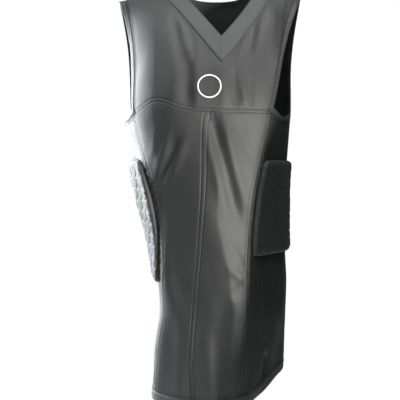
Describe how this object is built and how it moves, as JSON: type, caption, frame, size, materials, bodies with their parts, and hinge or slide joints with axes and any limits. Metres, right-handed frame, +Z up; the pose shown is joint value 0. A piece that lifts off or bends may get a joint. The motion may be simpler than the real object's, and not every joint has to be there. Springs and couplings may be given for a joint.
{
  "type": "padded compression vest",
  "caption": "Sleeveless V-neck compression top in stretch knit with a pad of hexagonal foam cells over the ribs on each side, worn under ski or snowboard clothing",
  "frame": {"origin": "midway between the two shoulder tips, level with the high points of the shoulders, where a hanger's neck would be", "axes": "+Z up; the front faces -Y; the wearer's left side is at +X and the right side at -X"},
  "size_m": [0.3348, 0.1792, 0.739],
  "materials": {
    "knit": "charcoal nylon and elastane knit with a soft sheen",
    "band_knit": "charcoal double knit, turned and pressed",
    "foam": "dark closed-cell foam, matte",
    "thread": "dark polyester thread, flatlock stitch",
    "print": "white rubbery transfer print",
    "label_satin": "white woven satin"
  },
  "bodies": {
    "vest": {"front_yoke": "knit", "back_panel": "knit", "front_panel_right": "knit", "front_panel_left": "knit", "side_panel_right": "knit", "side_panel_left": "knit", "neckband": "band_knit", "armhole_binding_right": "band_knit", "armhole_binding_left": "band_knit", "hem_band": "band_knit", "rib_pad_foam_right": "foam", "rib_pad_foam_left": "foam", "rib_pad_cover_right": "knit", "rib_pad_cover_left": "knit", "chest_seam": "thread", "centre_front_seam": "thread", "front_side_seam_right": "thread", "back_side_seam_right": "thread", "armhole_stitching_right": "thread", "shoulder_seam_right": "thread", "pad_stitching_right": "thread", "front_side_seam_left": "thread", "back_side_seam_left": "thread", "armhole_stitching_left": "thread", "shoulder_seam_left": "thread", "pad_stitching_left": "thread", "neckband_stitching": "thread", "hem_stitching": "thread", "neckband_mitre": "thread", "chest_emblem": "print"},
    "care_label": {"care_label": "label_satin"}
  },
  "joints": [
    {"name": "care_label_swing", "type": "hinge", "parent": "vest", "child": "care_label", "pos_m": [0.12372, 0.0326, -0.65901], "axis": [0.0973, -0.0665, 0.993], "range_deg": [-5, 130]}
  ]
}
